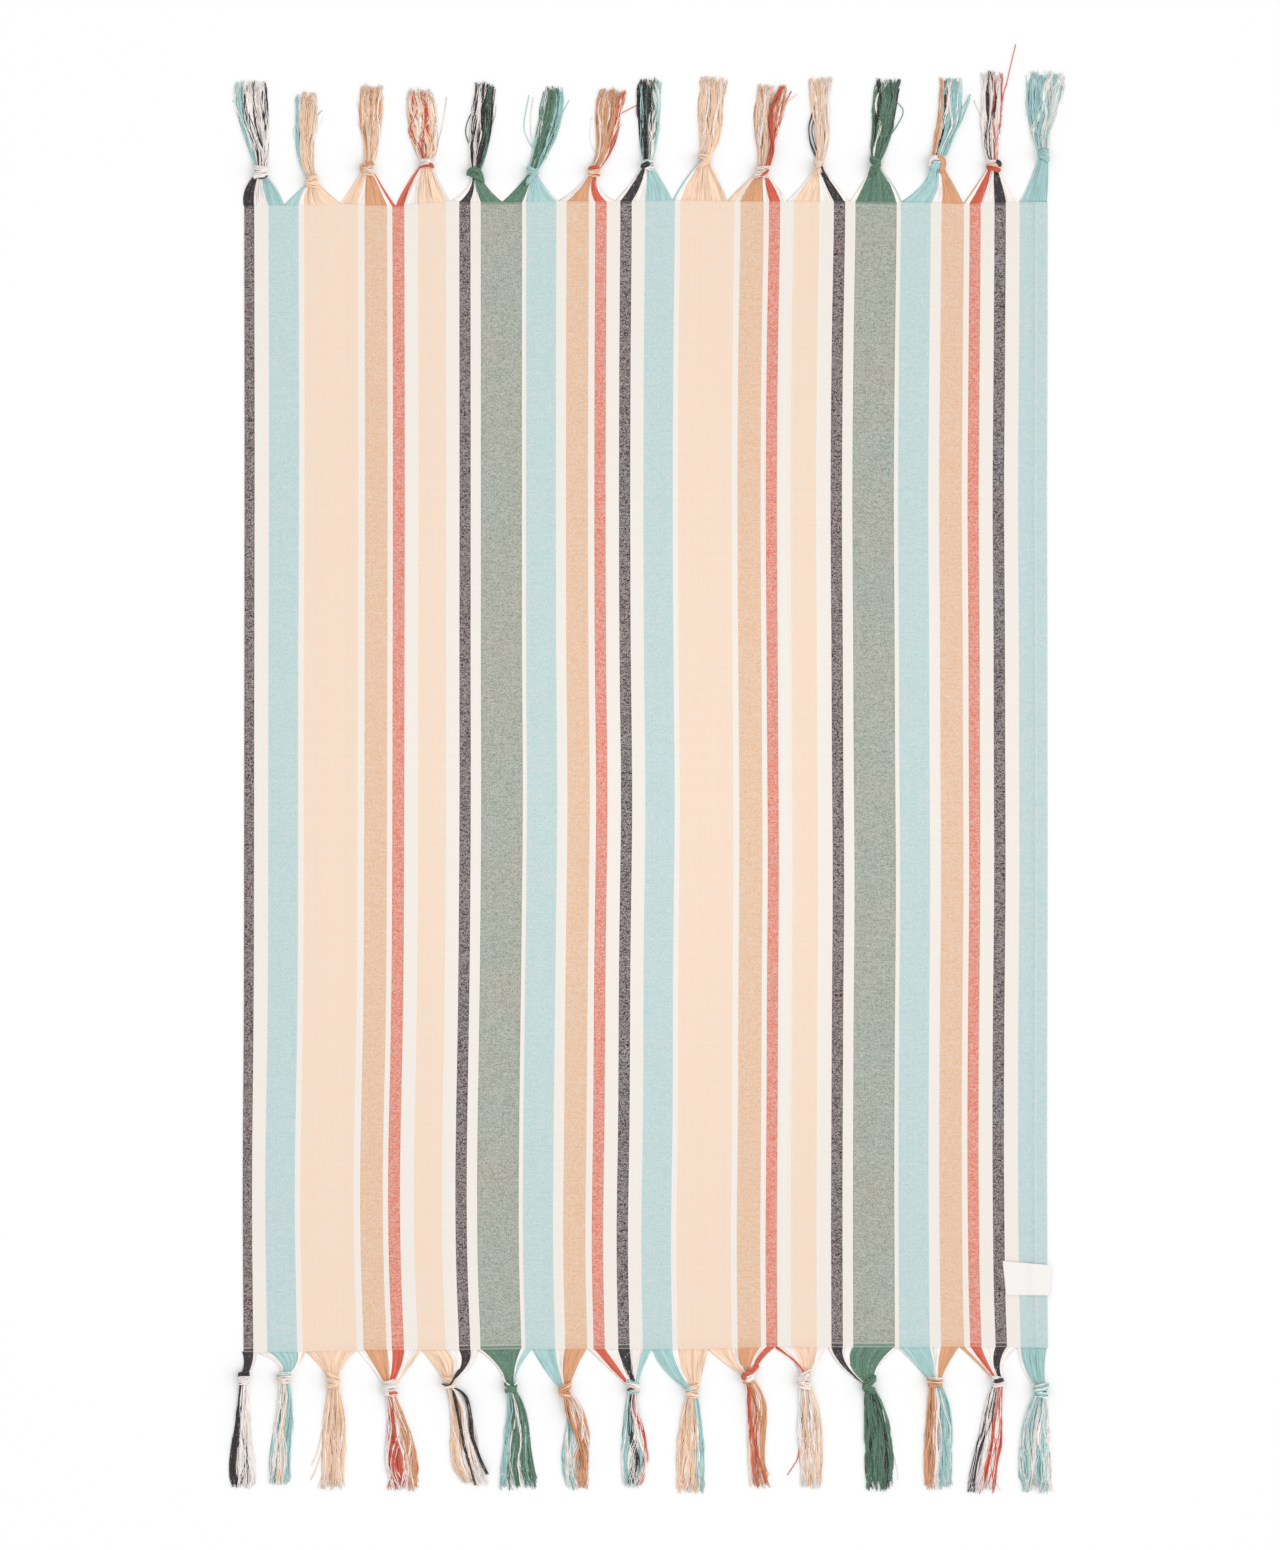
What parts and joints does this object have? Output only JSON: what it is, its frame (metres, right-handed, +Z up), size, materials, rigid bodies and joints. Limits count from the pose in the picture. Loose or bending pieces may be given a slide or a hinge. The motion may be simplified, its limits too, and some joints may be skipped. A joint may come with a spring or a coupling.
{
  "type": "hammam towel",
  "caption": "Flat woven cotton towel with lengthwise stripes, lying flat, its warp ends knotted into a tasselled fringe at both ends, with a hemmed side and a small blank sewn label.",
  "frame": {"origin": "middle of the cloth's underside, on the surface it lies on", "axes": "+Z up out of the cloth's face, +Y along the warp stripes towards the top fringe, +X across the cloth towards the hemmed side with the label"},
  "size_m": [1.0008, 1.7352, 0.011],
  "materials": {
    "cloth": "plain weave cotton with lengthwise stripes in black, ecru, pale aqua, peach, tan, coral and sage green, matt",
    "label": "off-white woven tape, blank, matt",
    "yarn_black": "loose cotton yarn, matt",
    "yarn_aqua": "loose cotton yarn, matt",
    "yarn_peach": "loose cotton yarn, matt",
    "yarn_tan": "loose cotton yarn, matt",
    "yarn_coral": "loose cotton yarn, matt",
    "yarn_green": "loose cotton yarn, matt",
    "yarn_ecru": "loose cotton yarn, matt"
  },
  "bodies": {
    "root": {"cloth": "cloth", "label": "label", "tassel_top_01": "yarn_ecru", "tassel_top_02": "yarn_peach", "tassel_top_03": "yarn_tan", "tassel_top_04": "yarn_coral", "tassel_top_05": "yarn_black", "tassel_top_06": "yarn_green", "tassel_top_07": "yarn_tan", "tassel_top_08": "yarn_aqua", "tassel_top_09": "yarn_peach", "tassel_top_10": "yarn_coral", "tassel_top_11": "yarn_peach", "tassel_top_12": "yarn_green", "tassel_top_13": "yarn_tan", "tassel_top_14": "yarn_ecru", "tassel_top_15": "yarn_aqua", "tassel_bottom_01": "yarn_black", "tassel_bottom_02": "yarn_aqua", "tassel_bottom_03": "yarn_peach", "tassel_bottom_04": "yarn_coral", "tassel_bottom_05": "yarn_peach", "tassel_bottom_06": "yarn_green", "tassel_bottom_07": "yarn_tan", "tassel_bottom_08": "yarn_aqua", "tassel_bottom_09": "yarn_peach", "tassel_bottom_10": "yarn_coral", "tassel_bottom_11": "yarn_peach", "tassel_bottom_12": "yarn_green", "tassel_bottom_13": "yarn_tan", "tassel_bottom_14": "yarn_coral", "tassel_bottom_15": "yarn_aqua"}
  },
  "joints": []
}
